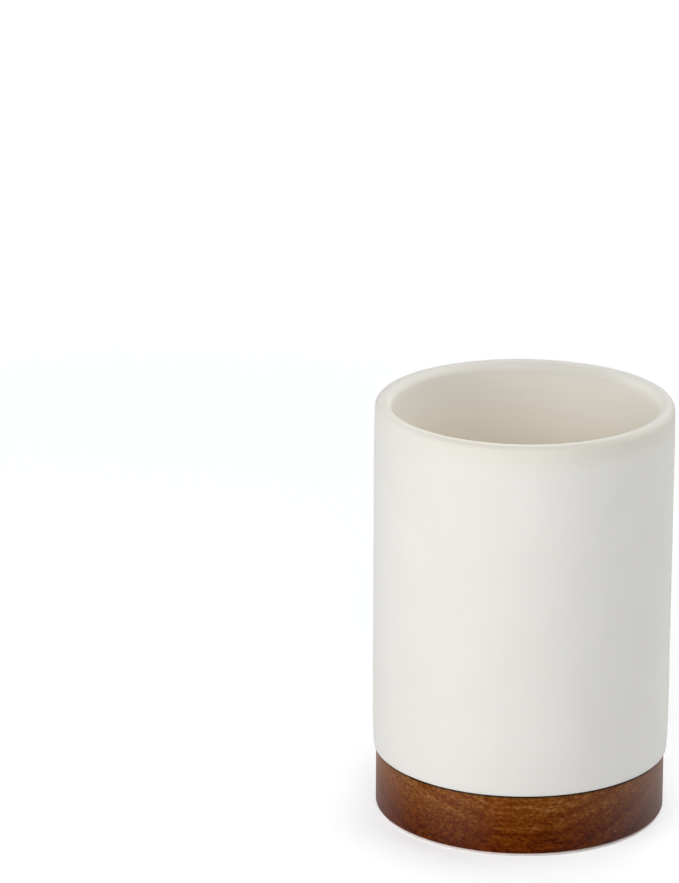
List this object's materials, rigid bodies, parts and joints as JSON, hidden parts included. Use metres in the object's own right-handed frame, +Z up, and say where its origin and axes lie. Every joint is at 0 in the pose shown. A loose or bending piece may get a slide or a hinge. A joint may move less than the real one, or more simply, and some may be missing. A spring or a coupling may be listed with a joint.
{
  "type": "pen holder cup",
  "caption": "Straight round ceramic cup with a rounded lip, bonded to a turned wooden base disc with a non-slip pad underneath, for standing pens and pencils in.",
  "frame": {"origin": "centre of the pad's underside, the face that rests on the desk", "axes": "+Z up along the cup's own axis, out of its mouth; X runs with the grain of the wooden base; the part is round about Z, so X and Y are otherwise free"},
  "size_m": [0.08, 0.08, 0.1145],
  "materials": {
    "ceramic": "matte",
    "adhesive": "satin",
    "stained_wood": "satin",
    "tape": "satin",
    "pad": "matte"
  },
  "bodies": {
    "root": {"cup_body": "ceramic", "bond_ring": "adhesive", "wood_base": "stained_wood", "pad_tape": "tape", "nonslip_pad": "pad"}
  },
  "joints": []
}
